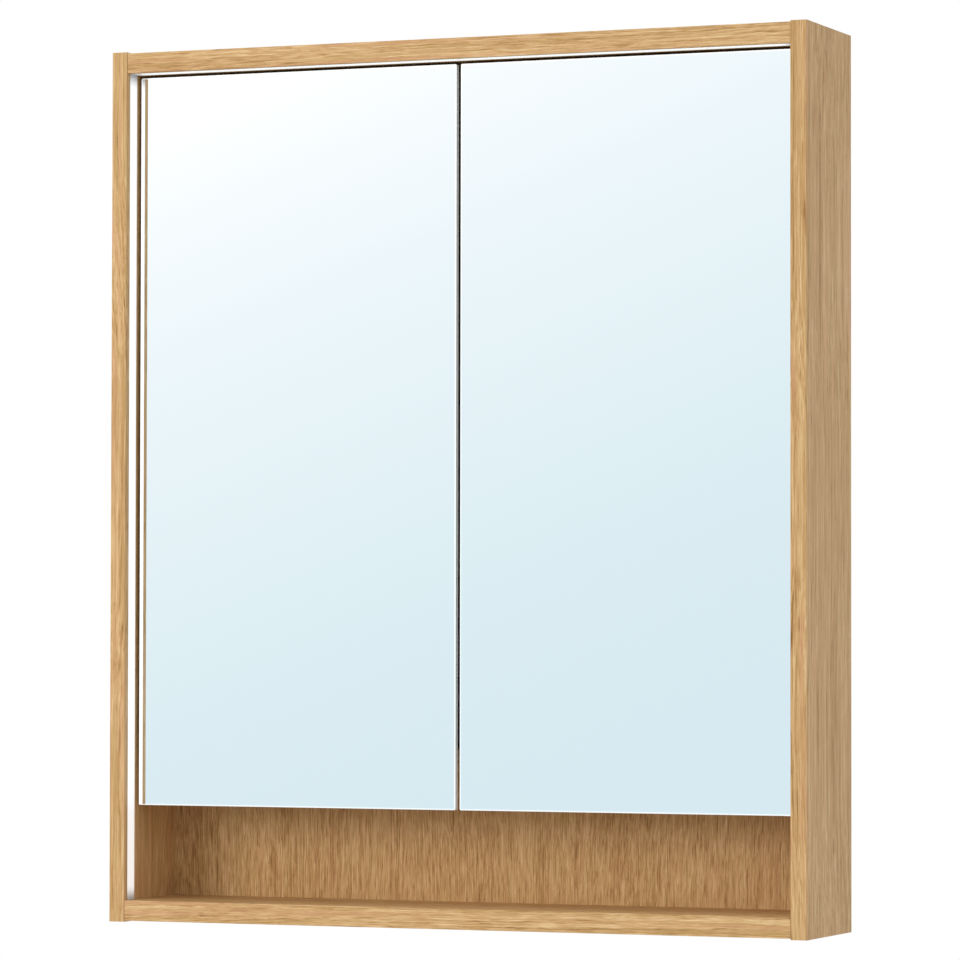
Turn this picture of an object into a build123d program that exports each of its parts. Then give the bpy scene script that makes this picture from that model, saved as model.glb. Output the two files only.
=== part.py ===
from build123d import *
import math
import os

# A wall cabinet with two mirror doors, light strips round the front and an open niche below.
# X runs left to right, -Y is the front, +Y is the wall and Z = 0 is the underside.
# The comments give lengths in millimetres.

# Overall box
width = 800.0
height = 950.0
depth = 150.0

# Wooden carcass
side_thickness = 18.0
board_thickness = 22.0
board_end_inset = 1.2
board_front_setback = 0.6
edge_round = 1.0
board_edge_round = 0.6
back_thickness = 8.0
back_recess = 13.5
back_groove_depth = 6.0
niche_ceiling_z = 172.5
ceiling_thickness = 18.0
inner_setback = 40.0

# Light strips
light_setback = 8.0
light_width = 17.0
light_recess = 8.0
channel_wall = 1.0
channel_gap = 0.1
diffuser_thickness = 1.5
diffuser_leg = 2.4
strip_width = 10.0
strip_thickness = 1.0
led_size = 3.0
led_height = 1.2
led_pitch = 20.0
strip_end_margin = 1.0
connector_width = 8.0
connector_height = 3.5
connector_reach = 20.0
duct_width = 4.5
duct_depth = 4.0

# Doors
door_setback = 26.3
glass_thickness = 3.0
backing_thickness = 4.0
door_side_gap = 4.4
door_top_gap = 3.1
door_bottom_z = 126.4
door_centre_gap = 4.9
glass_corner = 1.5
glass_bevel = 0.6

# Door hinges: a pin close behind the glass, a leaf on the door and a bent arm on the side panel
hinge_end_distance = 100.0
swing_clearance = 1.25
barrel_radius = 3.2
barrel_glass_gap = 0.3
pin_radius = 1.5
pin_running_gap = 0.05
pin_head_radius = 2.4
pin_head_height = 1.0
leaf_height = 36.0
leaf_length = 34.0
leaf_thickness = 2.0
arm_knuckle_height = 12.0
knuckle_gap = 0.2
notch_gap = 1.0
arm_thickness = 2.5
arm_bend_radius = 1.6
flange_thickness = 2.0
flange_length = 30.0
flange_height = 40.0
leaf_screw_first = 12.0
leaf_screw_spacing = 15.0
leaf_screw_rise = 11.0
leaf_screw_length = 5.0
arm_screw_first = 9.0
arm_screw_spacing = 12.0
arm_screw_rise = 12.0
arm_screw_length = 14.0

# Countersunk screws
screw_radius = 1.6
screw_head_radius = 3.0
screw_head_height = 1.4
screw_socket_radius = 1.0
screw_socket_depth = 0.9
hole_gap = 0.05
cut_spare = 1.0

# Shelves and their pins
shelf_count = 3
shelf_thickness = 6.0
shelf_side_gap = 1.0
shelf_back_gap = 2.0
shelf_front_gap = 2.0
shelf_bevel = 0.5
pin_row_inset = 20.5
pin_hole_pitch = 32.0
pin_hole_steps = (-1, 0, 1)
shelf_pin_radius = 2.5
shelf_pin_seat = 9.0
shelf_pin_hole_depth = 10.0
shelf_pin_reach = 9.0
shelf_pin_plate = 2.0
shelf_pin_width = 12.0

# Dowels and cam fittings that join the boards to the side panels
joint_axis_depth = 9.0
dowel_edge = 8.5
dowel_radius = 4.0
dowel_in_side = 10.0
dowel_in_board = 20.0
dowel_hole_spare = 1.0
cam_row_spacing = 28.0
cam_backset = 24.0
cam_radius = 7.5
cam_height = 12.0
cam_sink = 0.3
cam_slot_gap = 0.3
bolt_radius = 2.5
bolt_in_side = 11.0
bolt_head_radius = 3.2
bolt_head_length = 3.0
cap_radius = 8.5
cap_thickness = 0.8
cap_stub_radius = 2.0
cap_stub_length = 1.5
cam_socket_radius = 2.2
cam_socket_depth = 3.0

# Magnet catches in the front edge of the niche ceiling
catch_offset = 30.0
catch_radius = 5.0
catch_depth = 14.0
collar_radius = 6.5
collar_thickness = 1.2
magnet_radius = 3.5
magnet_length = 8.0
strike_width = 18.0
strike_height = 14.0
strike_thickness = 1.2
strike_corner = 2.0
catch_gap = 0.2

# Wall rail and the two brackets that hook onto it
plate_thickness = 2.0
bracket_width = 42.0
bracket_height = 62.0
bracket_top_gap = 2.0
bracket_flange_width = 10.0
hook_gap = 2.0
hook_side_gap = 1.0
tongue_length = 12.0
rail_lip_height = 10.0
rail_web_height = 40.0
rail_end_gap = 4.0
rail_hole_radius = 2.75
rail_hole_spacing = 200.0
rail_hole_count = 4
rail_hole_drop = 22.0
bracket_screw_first = 12.0
bracket_screw_spacing = 33.0
bracket_screw_column = 22.0
bracket_side_screw_length = 14.0
bracket_back_screw_length = 7.5

# Slim light driver behind the back panel
driver_length = 180.0
driver_height = 46.0
driver_end_gap = 52.0
driver_rail_gap = 45.0
driver_wall = 1.5
driver_wall_gap = 1.0
driver_post_radius = 3.2
circuit_end_gap = 18.0
circuit_side_gap = 2.0
circuit_lift = 2.0
circuit_thickness = 1.6
circuit_blocks = ((8.0, 30.0, 5.0), (46.0, 18.0, 4.0), (74.0, 34.0, 5.0), (118.0, 22.0, 3.0))
ear_length = 12.0
ear_height = 16.0
gland_bore_radius = 2.6
gland_sleeve_radius = 3.9
gland_collar_radius = 4.8
gland_lip = 0.8
gland_inner_reach = 3.0
gland_end_distance = 9.0

# Planes that several pieces share
front_y = -depth / 2
wall_y = depth / 2
half_width = width / 2
inner_x = half_width - side_thickness
bottom_top_z = board_end_inset + board_thickness
top_under_z = height - board_end_inset - board_thickness
top_face_z = height - board_end_inset
back_front_y = wall_y - back_recess - back_thickness
back_rear_y = wall_y - back_recess
ceiling_top_z = niche_ceiling_z + ceiling_thickness
inner_front_y = front_y + inner_setback
back_depth = depth - back_recess - back_thickness
light_y = front_y + light_setback + light_width / 2

# Planes of the doors
glass_front_y = front_y + door_setback
glass_back_y = glass_front_y + glass_thickness
door_back_y = glass_back_y + backing_thickness
door_outer_x = -inner_x + door_side_gap
door_inner_x = -door_centre_gap / 2
door_top_z = top_under_z - door_top_gap

# Hinge axis: as close to the side panel as the turning corner of the door lets it be
axis_y = glass_back_y + barrel_glass_gap + barrel_radius
corner_depth = axis_y - glass_front_y
axis_inset = (door_side_gap**2 + corner_depth**2 - swing_clearance**2) / (
    2 * (door_side_gap - swing_clearance)
)
axis_x = -inner_x + axis_inset
sweep_radius = axis_inset - swing_clearance
arm_reach = sweep_radius + swing_clearance + arm_thickness / 2
hinge_heights = {
    "lower": door_bottom_z + hinge_end_distance,
    "upper": door_top_z - hinge_end_distance,
}
shelf_spacing = (top_under_z - ceiling_top_z) / (shelf_count + 1)
shelf_heights = [ceiling_top_z + shelf_spacing * (step + 1) for step in range(shelf_count)]
shelf_names = ("lower_glass_shelf", "middle_glass_shelf", "upper_glass_shelf")

# Distances behind the front of the rows of holes in the side panels
pin_rows = (inner_setback + pin_row_inset, back_depth - pin_row_inset)
dowel_rows = (inner_setback + dowel_edge, back_depth - dowel_edge)
cam_rows = [sum(dowel_rows) / 2 + side * cam_row_spacing / 2 for side in (-1, 1)]

# Each board that is joined to the sides: height of its joint axis and the way its cams face
board_joints = {
    "bottom": (board_end_inset + joint_axis_depth, -1),
    "ceiling": (ceiling_top_z - joint_axis_depth, 1),
    "top": (top_face_z - joint_axis_depth, 1),
}


def block(x, y, z):
    """A box from three pairs of limits."""
    corner = Pos(min(x), min(y), min(z))
    return corner * Box(abs(x[1] - x[0]), abs(y[1] - y[0]), abs(z[1] - z[0]), align=Align.MIN)


def rod(start, direction, radius, length):
    """A round bar from a point along a direction."""
    return Part() + Solid.make_cylinder(radius, length, Plane(start, z_dir=direction))


def screw(head, direction, length, gap=0.0):
    """A countersunk screw whose head lies flush at a point, or its hole when a gap is given."""
    plane = Plane(head, z_dir=direction)
    cone = Solid.make_cone(screw_head_radius + gap, screw_radius + gap, screw_head_height, plane)
    body = Part() + cone + Solid.make_cylinder(screw_radius + gap, length + gap, plane)
    if gap:
        return body
    return body - Solid.make_cylinder(screw_socket_radius, screw_socket_depth, plane)


def mirrored(shape):
    """The same piece on the other side of the cabinet."""
    return mirror(shape, about=Plane.YZ)


def both(shapes):
    """Pieces of the left side together with their mirror images."""
    return shapes + [mirrored(shape) for shape in shapes]


def save(name, shapes):
    """Writes one named sub-part, as a group when it has several solids."""
    solids = [solid for shape in shapes for solid in shape.solids()]
    group = Compound(children=solids) if len(solids) > 1 else solids[0]
    group.label = name
    export_step(group, f"parts/{name}.step")


# Screws, dowels, cams and pins of the left side, each with the hole that it needs

def arm_screws(gap=0.0):
    """Screws that fasten the hinge arms to the side panel."""
    head_x = -inner_x + flange_thickness
    first_y = axis_y + arm_reach - arm_thickness / 2
    return [
        screw((head_x, first_y + back, z + rise), (-1, 0, 0), arm_screw_length, gap)
        for z in hinge_heights.values()
        for back in (arm_screw_first, arm_screw_first + arm_screw_spacing)
        for rise in (-arm_screw_rise, arm_screw_rise)
    ]


def leaf_screws(gap=0.0):
    """Short screws that fasten the hinge leaves to the door's backing."""
    head_y = door_back_y + leaf_thickness
    return [
        screw((axis_x + column, head_y, z + rise), (0, -1, 0), leaf_screw_length, gap)
        for z in hinge_heights.values()
        for column in (leaf_screw_first, leaf_screw_first + leaf_screw_spacing)
        for rise in (-leaf_screw_rise, leaf_screw_rise)
    ]


def bracket_screws(gap=0.0):
    """Screws that fasten the hanging bracket to the side panel and the back panel."""
    flange_y = back_rear_y + plate_thickness + bracket_flange_width / 2
    foot_z = top_under_z - bracket_top_gap - bracket_height
    rows = (bracket_screw_first, bracket_screw_first + bracket_screw_spacing)
    side = [
        screw(
            (-inner_x + plate_thickness, flange_y, foot_z + row),
            (-1, 0, 0),
            bracket_side_screw_length,
            gap,
        )
        for row in rows
    ]
    back = [
        screw(
            (-inner_x + bracket_screw_column, back_rear_y + plate_thickness, foot_z + row),
            (0, -1, 0),
            bracket_back_screw_length,
            gap,
        )
        for row in rows
    ]
    return side + back


def dowels(gap=0.0, spare=0.0):
    """Wooden dowels between the side panel and the ends of the three boards."""
    return [
        rod(
            (-inner_x - dowel_in_side - spare, front_y + back, z),
            (1, 0, 0),
            dowel_radius + gap,
            dowel_in_side + dowel_in_board + 2 * spare,
        )
        for z, _ in board_joints.values()
        for back in dowel_rows
    ]


def cam_bolts(gap=0.0):
    """Steel bolts that stand in the side panel and reach into the cams."""
    bolts = []
    for z, _ in board_joints.values():
        for back in cam_rows:
            start = (-inner_x - bolt_in_side, front_y + back, z)
            head = (-inner_x + cam_backset - bolt_head_length, front_y + back, z)
            shank = rod(start, (1, 0, 0), bolt_radius + gap, bolt_in_side + cam_backset)
            bolts.append(shank + rod(head, (1, 0, 0), bolt_head_radius + gap, bolt_head_length))
    return bolts


def bolt_holes():
    """Clearance holes for the bolts, wide enough in the board for the bolt's head."""
    holes = cam_bolts(hole_gap)
    for z, _ in board_joints.values():
        for back in cam_rows:
            mouth = (-inner_x, front_y + back, z)
            holes.append(rod(mouth, (1, 0, 0), bolt_head_radius + hole_gap, cam_backset))
    return holes


def cams(gap=0.0):
    """Round cam housings in the face of each board."""
    pieces = []
    sink = 0 if gap else cam_sink
    for z, facing in board_joints.values():
        face_z = z + facing * joint_axis_depth
        for back in cam_rows:
            top = (-inner_x + cam_backset, front_y + back, face_z - facing * sink)
            depth_of_bore = cam_height + cam_sink - sink + gap
            pieces.append(rod(top, (0, 0, -facing), cam_radius + gap, depth_of_bore))
    return pieces


def slotted_cams():
    """Cams with the slot that takes the bolt's head and the socket for a screwdriver."""
    pieces = []
    slot = bolt_head_radius + cam_slot_gap
    for housing, (z, facing, back) in zip(
        cams(), [(*joint, back) for joint in board_joints.values() for back in cam_rows]
    ):
        centre_x = -inner_x + cam_backset
        y = front_y + back
        face_z = z + facing * (joint_axis_depth - cam_sink)
        passage = block(
            (centre_x - cam_radius - cut_spare, centre_x + cam_slot_gap),
            (y - slot, y + slot),
            (z - slot, z + slot),
        )
        socket = rod((centre_x, y, face_z), (0, 0, -facing), cam_socket_radius, cam_socket_depth)
        pieces.append(housing - passage - socket)
    return pieces


def cam_caps():
    """Thin caps that cover the cams."""
    pieces = []
    for z, facing in board_joints.values():
        face_z = z + facing * joint_axis_depth
        for back in cam_rows:
            seat = (-inner_x + cam_backset, front_y + back, face_z)
            cap = rod(seat, (0, 0, facing), cap_radius, cap_thickness)
            pieces.append(cap + rod(seat, (0, 0, -facing), cap_stub_radius, cap_stub_length))
    return pieces


def shelf_pins():
    """Pins with a flat plate under each corner of the left half of every shelf."""
    pins = []
    for shelf_z in shelf_heights:
        for row in pin_rows:
            y = front_y + row
            bar = rod(
                (-inner_x - shelf_pin_seat, y, shelf_z - shelf_pin_radius),
                (1, 0, 0),
                shelf_pin_radius,
                shelf_pin_seat + shelf_pin_reach,
            )
            plate = block(
                (-inner_x, -inner_x + shelf_pin_reach),
                (y - shelf_pin_width / 2, y + shelf_pin_width / 2),
                (shelf_z - shelf_pin_plate, shelf_z),
            )
            pins.append(bar + plate)
    return pins


def pin_holes():
    """Three heights of pin holes for every shelf."""
    return [
        rod(
            (-inner_x, front_y + row, shelf_z - shelf_pin_radius + step * pin_hole_pitch),
            (-1, 0, 0),
            shelf_pin_radius + hole_gap,
            shelf_pin_hole_depth,
        )
        for shelf_z in shelf_heights
        for row in pin_rows
        for step in pin_hole_steps
    ]


# Carcass

def side_panel():
    """Left side panel, with its light groove, back groove and all its holes."""
    panel = block((-half_width, -inner_x), (front_y, wall_y), (0, height))
    panel = fillet(panel.edges().filter_by(Axis.Z), edge_round)
    light_groove = block(
        (-inner_x - light_recess, -inner_x),
        (light_y - light_width / 2, light_y + light_width / 2),
        (bottom_top_z, top_under_z),
    )
    connector_pocket = block(
        (-inner_x - light_recess, -inner_x),
        (light_y - connector_width / 2 - channel_gap, light_y + connector_width / 2 + channel_gap),
        (top_under_z, top_under_z + light_recess),
    )
    back_groove = block(
        (-inner_x - back_groove_depth, -inner_x),
        (back_front_y, back_rear_y),
        (bottom_top_z - back_groove_depth, top_under_z + back_groove_depth),
    )
    cuts = [light_groove, connector_pocket, back_groove]
    cuts += dowels(hole_gap, dowel_hole_spare)
    cuts += cam_bolts(hole_gap)
    cuts += pin_holes()
    cuts += arm_screws(hole_gap)
    cuts += bracket_screws(hole_gap)
    return panel - cuts


def board(z_low, z_high, y_front, y_rear, rounding):
    """A plain board between the side panels, its front edges rounded."""
    body = block((-inner_x, inner_x), (y_front, y_rear), (z_low, z_high))
    edges = body.edges().filter_by(Axis.X).group_by(Axis.Y)[0]
    return fillet(edges, rounding)


def board_joint_cuts():
    """Holes for dowels, bolts and cams at both ends of the boards."""
    return both(dowels(hole_gap, dowel_hole_spare) + bolt_holes() + cams(hole_gap))


def back_slot():
    """Space taken by the back panel."""
    return block(
        (-inner_x - back_groove_depth, inner_x + back_groove_depth),
        (back_front_y, back_rear_y),
        (bottom_top_z - back_groove_depth, top_under_z + back_groove_depth),
    )


def top_board(joints):
    """Top board with its light groove and the wire duct in its right end."""
    body = board(top_under_z, top_face_z, front_y + board_front_setback, wall_y, board_edge_round)
    groove = block(
        (-inner_x, inner_x),
        (light_y - light_width / 2, light_y + light_width / 2),
        (top_under_z, top_under_z + light_recess),
    )
    duct_z = top_under_z + max(back_groove_depth, light_recess)
    riser = block(
        (inner_x - duct_depth, inner_x),
        (light_y, light_y + light_width / 2),
        (top_under_z, duct_z + duct_width),
    )
    duct = block((inner_x - duct_depth, inner_x), (light_y, wall_y), (duct_z, duct_z + duct_width))
    return body - ([groove, riser, duct, back_slot()] + joints)


def bottom_board(joints):
    """Bottom board of the niche."""
    body = board(
        board_end_inset, bottom_top_z, front_y + board_front_setback, wall_y, board_edge_round
    )
    return body - ([back_slot()] + joints)


def niche_ceiling_board(joints, catch_holes):
    """Board between the niche and the closed compartment."""
    body = board(niche_ceiling_z, ceiling_top_z, inner_front_y, back_front_y, board_edge_round)
    return body - (joints + catch_holes)


# Light strips, drawn along +X with their open side down, then put in their grooves

def channel_profile(length, near_end=0.0):
    """An aluminium channel, its floor at the top and its open side below."""
    half = light_width / 2 - channel_gap
    shell = block(
        (0, length - near_end), (-half, half), (diffuser_thickness, light_recess - channel_gap)
    )
    hollow = block(
        (-cut_spare, length + cut_spare),
        (-half + channel_wall, half - channel_wall),
        (0, light_recess - channel_gap - channel_wall),
    )
    return shell - hollow


def diffuser_profile(length):
    """A cover that lies flush with the board and clips into the channel with two legs."""
    half = light_width / 2 - channel_gap
    cover = block((0, length), (-half, half), (0, diffuser_thickness))
    leg_outer = half - channel_wall - hole_gap
    legs = [
        block(
            (0, length),
            (side * leg_outer, side * (leg_outer - channel_wall)),
            (0, diffuser_thickness + diffuser_leg),
        )
        for side in (-1, 1)
    ]
    return cover + legs


def strip_profile(length, start_margin, end_margin):
    """A circuit strip on the channel's floor with its row of light chips."""
    floor_z = light_recess - channel_gap - channel_wall
    base = block(
        (start_margin, length - end_margin),
        (-strip_width / 2, strip_width / 2),
        (floor_z - strip_thickness, floor_z),
    )
    usable = length - start_margin - end_margin
    count = int(usable / led_pitch)
    first = start_margin + (usable - (count - 1) * led_pitch) / 2
    chips = [
        block(
            (first + index * led_pitch - led_size / 2, first + index * led_pitch + led_size / 2),
            (-led_size / 2, led_size / 2),
            (floor_z - strip_thickness - led_height, floor_z - strip_thickness),
        )
        for index in range(count)
    ]
    return base + chips


side_light_length = top_under_z - bottom_top_z
top_light_length = 2 * inner_x
# The side strip runs up the panel's inner face, and its open side faces the middle of the cabinet.
side_light_place = Plane((-inner_x, light_y, bottom_top_z), x_dir=(0, 0, 1), z_dir=(-1, 0, 0)).location
top_light_place = Pos(-inner_x, light_y, top_under_z)


def corner_connector():
    """A bent connector that links the side strip to the top strip."""
    floor = light_recess - channel_gap - channel_wall
    y = (light_y - connector_width / 2, light_y + connector_width / 2)
    upright = block(
        (-inner_x - floor, -inner_x - floor + connector_height),
        y,
        (top_under_z - connector_reach, top_under_z + floor),
    )
    level = block(
        (-inner_x - floor, -inner_x + connector_reach),
        y,
        (top_under_z + floor - connector_height, top_under_z + floor),
    )
    return upright + level


# Doors and hinges of the left side

def door_sheet(y_front, y_rear):
    """A sheet of the door's outline with rounded corners."""
    sheet = block((door_outer_x, door_inner_x), (y_front, y_rear), (door_bottom_z, door_top_z))
    return fillet(sheet.edges().filter_by(Axis.Y), glass_corner)


def mirror_glass():
    """Mirror glass with a fine polished bevel round its face."""
    sheet = door_sheet(glass_front_y, glass_back_y)
    return chamfer(sheet.faces().sort_by(Axis.Y)[0].edges(), glass_bevel)


def door_backing():
    """Backing sheet with a notch for each hinge barrel."""
    sheet = door_sheet(glass_back_y, door_back_y)
    notch_half = leaf_height / 2 + pin_head_height + notch_gap
    notches = [
        block(
            (door_outer_x - notch_gap, axis_x + barrel_radius + notch_gap),
            (glass_back_y, door_back_y),
            (z - notch_half, z + notch_half),
        )
        for z in hinge_heights.values()
    ]
    return sheet - (notches + leaf_screws(hole_gap))


def hinge_leaf(z, screw_cuts):
    """Door leaf of a hinge, a plate with two knuckles."""
    plate = block(
        (axis_x, axis_x + leaf_length),
        (door_back_y, door_back_y + leaf_thickness),
        (z - leaf_height / 2, z + leaf_height / 2),
    )
    barrel = rod((axis_x, axis_y, z - leaf_height / 2), (0, 0, 1), barrel_radius, leaf_height)
    gap_half = arm_knuckle_height / 2 + knuckle_gap
    middle = block(
        (axis_x - barrel_radius - cut_spare, axis_x + barrel_radius + arm_thickness),
        (axis_y - barrel_radius - cut_spare, axis_y + barrel_radius + cut_spare),
        (z - gap_half, z + gap_half),
    )
    bore = rod((axis_x, axis_y, z - leaf_height / 2), (0, 0, 1), pin_radius, leaf_height)
    return (plate + barrel) - ([middle, bore] + screw_cuts)


def hinge_arm(z, screw_cuts):
    """Bent arm of a hinge, with a knuckle on the pin and a flange on the side panel."""
    diagonal = arm_reach * math.sqrt(0.5)
    path = FilletPolyline(
        (axis_x, axis_y),
        (axis_x + diagonal, axis_y + diagonal),
        (axis_x + diagonal / 2, axis_y + arm_reach),
        (-inner_x + flange_thickness, axis_y + arm_reach),
        radius=arm_bend_radius,
    )
    outline = offset(path, arm_thickness / 2, kind=Kind.ARC, side=Side.BOTH)
    strap = Pos(0, 0, z - arm_knuckle_height / 2) * extrude(make_face(outline), arm_knuckle_height)
    front = axis_y + arm_reach - arm_thickness / 2
    flange = block(
        (-inner_x, -inner_x + flange_thickness),
        (front, front + flange_length),
        (z - flange_height / 2, z + flange_height / 2),
    )
    foot = (axis_x, axis_y, z - arm_knuckle_height / 2)
    knuckle = rod(foot, (0, 0, 1), barrel_radius, arm_knuckle_height)
    bore = rod(foot, (0, 0, 1), pin_radius + pin_running_gap, arm_knuckle_height)
    return (strap + flange + knuckle) - ([bore] + screw_cuts)


def hinge_pin(z):
    """Pin with a head above the leaf and a riveted end below it."""
    low = z - leaf_height / 2
    high = z + leaf_height / 2
    shaft = rod((axis_x, axis_y, low), (0, 0, 1), pin_radius, leaf_height)
    head = rod((axis_x, axis_y, high), (0, 0, 1), pin_head_radius, pin_head_height)
    rivet = rod((axis_x, axis_y, low), (0, 0, -1), pin_head_radius, pin_head_height / 2)
    return shaft + head + rivet


# Magnet catches

catch_z = ceiling_top_z - ceiling_thickness / 2
strike_rear_y = door_back_y + strike_thickness
catch_front_y = strike_rear_y + catch_gap


def catch_sleeve():
    """Plastic sleeve in the front edge of the niche ceiling, which also stops the door."""
    front = (-catch_offset, catch_front_y, catch_z)
    proud = inner_front_y - catch_front_y
    barrel = rod(front, (0, 1, 0), catch_radius, proud + catch_depth)
    collar_front = (-catch_offset, inner_front_y - collar_thickness, catch_z)
    collar = rod(collar_front, (0, 1, 0), collar_radius, collar_thickness)
    return barrel + collar - rod(front, (0, 1, 0), magnet_radius, magnet_length)


def catch_magnet():
    """Round magnet in the mouth of the sleeve."""
    return rod((-catch_offset, catch_front_y, catch_z), (0, 1, 0), magnet_radius, magnet_length)


def catch_hole():
    """Hole for the sleeve."""
    mouth = (-catch_offset, inner_front_y, catch_z)
    return rod(mouth, (0, 1, 0), catch_radius + hole_gap, catch_depth + hole_gap)


def strike_plate():
    """Steel plate bonded to the back of the door, opposite the magnet."""
    plate = block(
        (-catch_offset - strike_width / 2, -catch_offset + strike_width / 2),
        (door_back_y, strike_rear_y),
        (catch_z - strike_height / 2, catch_z + strike_height / 2),
    )
    return fillet(plate.edges().filter_by(Axis.Y), strike_corner)


# Hanging hardware in the recess behind the back panel

bracket_top_z = top_under_z - bracket_top_gap
bracket_plate_y = back_rear_y + plate_thickness
lip_front_y = bracket_plate_y + hook_gap
tongue_front_y = lip_front_y + plate_thickness + hook_gap
rail_step_z = bracket_top_z - plate_thickness - tongue_length


def hanger_bracket():
    """Left bracket: a plate, a flange on the side panel and a tongue behind the rail's lip."""
    left = -inner_x
    z = (bracket_top_z - bracket_height, bracket_top_z)
    plate = block((left, left + bracket_width), (back_rear_y, bracket_plate_y), z)
    flange = block(
        (left, left + plate_thickness), (bracket_plate_y, bracket_plate_y + bracket_flange_width), z
    )
    tongue_x = (left + rail_end_gap + hook_side_gap, left + bracket_width)
    bridge = block(
        tongue_x,
        (back_rear_y, tongue_front_y + plate_thickness),
        (bracket_top_z - plate_thickness, bracket_top_z),
    )
    tongue = block(
        tongue_x, (tongue_front_y, tongue_front_y + plate_thickness), (rail_step_z, bracket_top_z)
    )
    return (plate + flange + bridge + tongue) - bracket_screws(hole_gap)


def wall_rail():
    """Steel rail on the wall: a web with screw holes, a step and a lip that stands up."""
    x = (-inner_x + rail_end_gap, inner_x - rail_end_gap)
    web = block(x, (wall_y - plate_thickness, wall_y), (rail_step_z - rail_web_height, rail_step_z))
    step = block(x, (lip_front_y, wall_y), (rail_step_z - plate_thickness, rail_step_z))
    lip = block(
        x, (lip_front_y, lip_front_y + plate_thickness), (rail_step_z, rail_step_z + rail_lip_height)
    )
    first = -rail_hole_spacing * (rail_hole_count - 1) / 2
    holes = [
        rod(
            (first + index * rail_hole_spacing, wall_y - plate_thickness, rail_step_z - rail_hole_drop),
            (0, 1, 0),
            rail_hole_radius,
            plate_thickness,
        )
        for index in range(rail_hole_count)
    ]
    return (web + step + lip) - holes


# Light driver in the recess behind the back panel

driver_right = inner_x - driver_end_gap
driver_top = rail_step_z - rail_web_height - driver_rail_gap
driver_x = (driver_right - driver_length, driver_right)
driver_zs = (driver_top - driver_height, driver_top)
driver_rear_y = wall_y - driver_wall_gap
driver_floor_y = back_rear_y + driver_wall
cover_front_y = driver_rear_y - driver_wall
gland_x = driver_x[0] + gland_end_distance
gland_z = driver_top - driver_height / 2
driver_posts = [
    (x, z)
    for x in (driver_x[0] + driver_post_radius, driver_x[1] - driver_post_radius)
    for z in (driver_zs[0] + driver_post_radius, driver_zs[1] - driver_post_radius)
]
driver_ears = (driver_x[0] - ear_length / 2, driver_x[1] + ear_length / 2)


def driver_screws(gap=0.0):
    """Screws of the driver's cover and of its two ears."""
    cover = [
        screw((x, driver_rear_y, z), (0, -1, 0), cover_front_y - driver_floor_y, gap)
        for x, z in driver_posts
    ]
    ears = [
        screw(
            (x, back_rear_y + plate_thickness, driver_zs[0] + ear_height / 2),
            (0, -1, 0),
            bracket_back_screw_length,
            gap,
        )
        for x in driver_ears
    ]
    return cover, ears


def driver_case(cover_cuts, ear_cuts):
    """Flat tray with corner posts and two ears, open towards the wall."""
    shell = block(driver_x, (back_rear_y, cover_front_y), driver_zs)
    hollow = block(
        (driver_x[0] + driver_wall, driver_x[1] - driver_wall),
        (driver_floor_y, cover_front_y),
        (driver_zs[0] + driver_wall, driver_zs[1] - driver_wall),
    )
    posts = [
        rod((x, driver_floor_y, z), (0, 1, 0), driver_post_radius, cover_front_y - driver_floor_y)
        for x, z in driver_posts
    ]
    ears = [
        block(
            (x - ear_length / 2, x + ear_length / 2),
            (back_rear_y, back_rear_y + plate_thickness),
            (driver_zs[0], driver_zs[0] + ear_height),
        )
        for x in driver_ears
    ]
    return (shell - hollow) + posts + ears - (cover_cuts + ear_cuts)


def driver_cover(cover_cuts):
    """Plate that closes the driver's tray, with the hole for the gland."""
    plate = block(driver_x, (cover_front_y, driver_rear_y), driver_zs)
    inlet = rod(
        (gland_x, cover_front_y, gland_z), (0, 1, 0), gland_sleeve_radius + hole_gap, driver_wall
    )
    return plate - (cover_cuts + [inlet])


def driver_circuit_board():
    """Circuit board on four short feet, with its coil, capacitors and terminal block."""
    start_x = driver_x[0] + circuit_end_gap
    x = (start_x, driver_x[1] - circuit_end_gap)
    z = (driver_zs[0] + driver_wall + circuit_side_gap, driver_zs[1] - driver_wall - circuit_side_gap)
    y = driver_floor_y + circuit_lift
    sheet = block(x, (y, y + circuit_thickness), z)
    feet = [
        rod((foot_x, driver_floor_y, foot_z), (0, 1, 0), circuit_side_gap, circuit_lift)
        for foot_x in (x[0] + 2 * circuit_side_gap, x[1] - 2 * circuit_side_gap)
        for foot_z in (z[0] + 2 * circuit_side_gap, z[1] - 2 * circuit_side_gap)
    ]
    blocks = [
        block(
            (start_x + offset_x, start_x + offset_x + length),
            (y + circuit_thickness, y + circuit_thickness + tall),
            (z[0] + circuit_side_gap, z[1] - circuit_side_gap),
        )
        for offset_x, length, tall in circuit_blocks
    ]
    return sheet + feet + blocks


def mains_gland():
    """Gland in the driver's cover: a sleeve between two collars, with the bore for the supply cable."""
    inner_y = cover_front_y - gland_inner_reach
    sleeve = rod((gland_x, cover_front_y, gland_z), (0, 1, 0), gland_sleeve_radius, driver_wall)
    inner = rod((gland_x, inner_y, gland_z), (0, 1, 0), gland_collar_radius, gland_inner_reach)
    lip = rod((gland_x, driver_rear_y, gland_z), (0, 1, 0), gland_collar_radius, gland_lip)
    bore_length = gland_inner_reach + driver_wall + gland_lip
    bore = rod((gland_x, inner_y, gland_z), (0, 1, 0), gland_bore_radius, bore_length)
    return sleeve + inner + lip - bore


# Writing every piece

os.makedirs("parts", exist_ok=True)

left_side = side_panel()
save("left_side_panel", [left_side])
save("right_side_panel", [mirrored(left_side)])
joint_cuts = board_joint_cuts()
save("top_board", [top_board(joint_cuts)])
save("bottom_board", [bottom_board(joint_cuts)])
save("niche_ceiling_board", [niche_ceiling_board(joint_cuts, both([catch_hole()]))])
cover_holes, ear_holes = driver_screws(hole_gap)
save("back_panel", [back_slot() - (both(bracket_screws(hole_gap)) + ear_holes)])

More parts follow.
